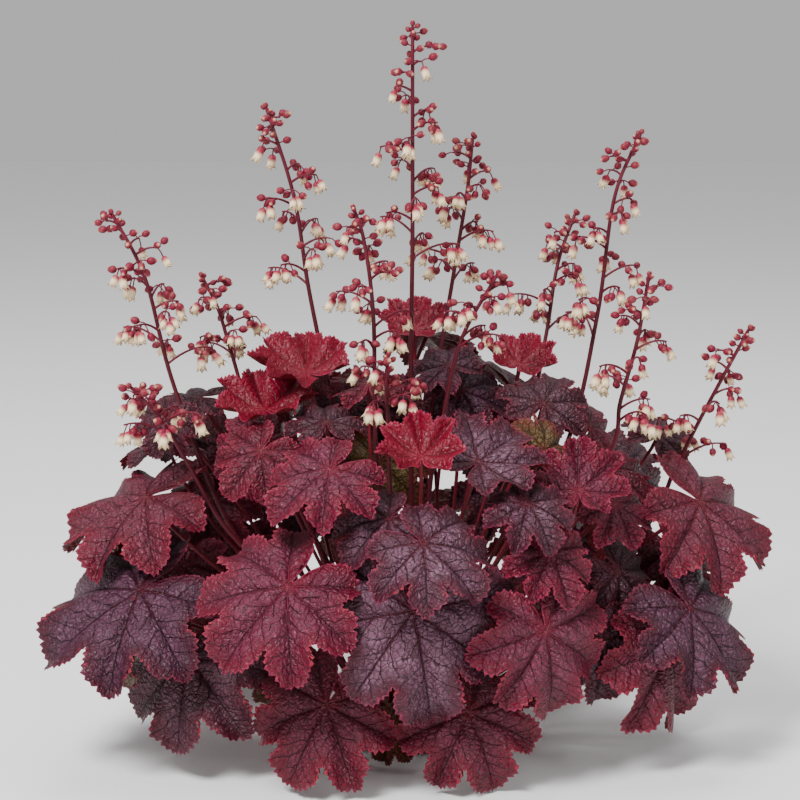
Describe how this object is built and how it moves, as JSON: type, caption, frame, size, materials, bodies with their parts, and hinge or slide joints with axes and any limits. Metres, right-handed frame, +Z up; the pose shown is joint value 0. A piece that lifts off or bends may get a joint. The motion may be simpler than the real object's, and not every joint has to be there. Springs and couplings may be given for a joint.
{
  "type": "heuchera plant",
  "caption": "Low mound of lobed, toothed purple and red leaves on slender stalks, with upright thin stems that carry loose sprays of small nodding bells, all from one woody crown.",
  "frame": {"origin": "centre of the crown's flat foot, on the surface that the plant stands on", "axes": "+Z up along the plant, -Y the front that is seen, +X to the right of that front"},
  "size_m": [0.3968, 0.3113, 0.3998],
  "materials": {
    "crown": "rough",
    "leaf_dark": "satin",
    "leaf_old": "matt",
    "leaf_pink": "satin, netted with dark veins",
    "leaf_plum": "satin",
    "leaf_red": "soft gloss",
    "leaf_rose": "satin",
    "leaf_silver": "satin, netted with dark veins",
    "stem": "satin, finely haired"
  },
  "bodies": {
    "root": {"crown": "crown", "flower_stem_01": "stem", "flower_stem_02": "stem", "flower_stem_03": "stem", "flower_stem_04": "stem", "flower_stem_05": "stem", "flower_stem_06": "stem", "flower_stem_07": "stem", "flower_stem_08": "stem", "flower_stem_09": "stem", "flower_stem_10": "stem", "flower_stem_11": "stem", "flower_stem_12": "stem", "flower_stem_13": "stem", "leaf_01": "leaf_silver", "leaf_02": "leaf_silver", "leaf_03": "leaf_pink", "leaf_04": "leaf_plum", "leaf_05": "leaf_dark", "leaf_06": "leaf_rose", "leaf_07": "leaf_rose", "leaf_08": "leaf_pink", "leaf_09": "leaf_dark", "leaf_10": "leaf_rose", "leaf_11": "leaf_plum", "leaf_12": "leaf_rose", "leaf_13": "leaf_rose", "leaf_14": "leaf_pink", "leaf_15": "leaf_silver", "leaf_16": "leaf_silver", "leaf_17": "leaf_silver", "leaf_18": "leaf_pink", "leaf_19": "leaf_red", "leaf_20": "leaf_pink", "leaf_21": "leaf_dark", "leaf_22": "leaf_red", "leaf_23": "leaf_red", "leaf_24": "leaf_pink", "leaf_25": "leaf_red", "leaf_26": "leaf_red", "leaf_27": "leaf_dark", "leaf_28": "leaf_rose", "leaf_29": "leaf_dark", "leaf_30": "leaf_pink", "leaf_shoot_1": "leaf_old", "leaf_shoot_2": "leaf_dark", "leaf_shoot_3": "leaf_rose", "leaf_31": "leaf_old", "leaf_32": "leaf_old", "leaf_shoot_4": "leaf_plum", "leaf_shoot_5": "leaf_dark", "leaf_shoot_6": "leaf_dark", "leaf_shoot_7": "leaf_dark", "leaf_shoot_8": "leaf_dark", "leaf_rear_1a": "leaf_plum", "leaf_rear_1b": "leaf_plum", "leaf_rear_2a": "leaf_pink", "leaf_rear_2b": "leaf_pink", "leaf_rear_3a": "leaf_silver", "leaf_rear_4a": "leaf_plum"}
  },
  "joints": []
}
